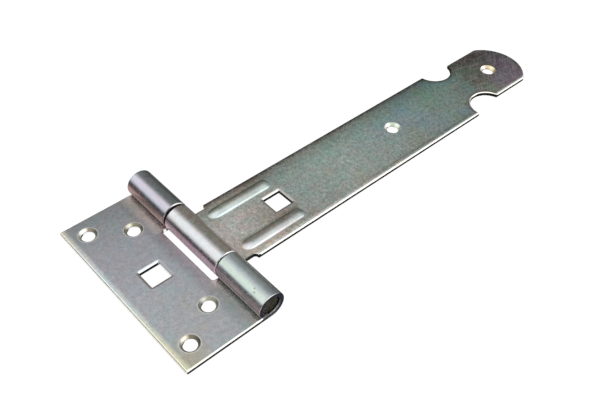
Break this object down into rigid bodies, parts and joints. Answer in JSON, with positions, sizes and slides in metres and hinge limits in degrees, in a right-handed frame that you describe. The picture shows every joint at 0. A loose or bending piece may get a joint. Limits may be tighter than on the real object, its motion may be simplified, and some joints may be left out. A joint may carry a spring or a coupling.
{
  "type": "tee hinge",
  "caption": "Flat tee hinge in plated sheet steel: a rectangular cross leaf and a long round-ended strap turn on a pin held in rolled knuckles.",
  "frame": {"origin": "on the back plane of both leaves, straight under the middle of the pin", "axes": "+X along the strap from the pin to the tip, +Y along the pin, +Z out of the front faces"},
  "size_m": [0.2399, 0.0868, 0.012],
  "materials": {
    "cross_leaf": "zinc plated, faintly iridescent",
    "strap_leaf": "zinc plated, faintly iridescent",
    "hinge_pin": "sheared bar end, dull"
  },
  "bodies": {
    "cross": {"cross_leaf": "cross_leaf", "hinge_pin": "hinge_pin"},
    "strap": {"strap_leaf": "strap_leaf"}
  },
  "joints": [
    {"name": "pin_hinge", "type": "hinge", "parent": "cross", "child": "strap", "pos_m": [0, 0, 0.006], "axis": [0, -1, 0], "range_deg": [-95, 185]}
  ]
}
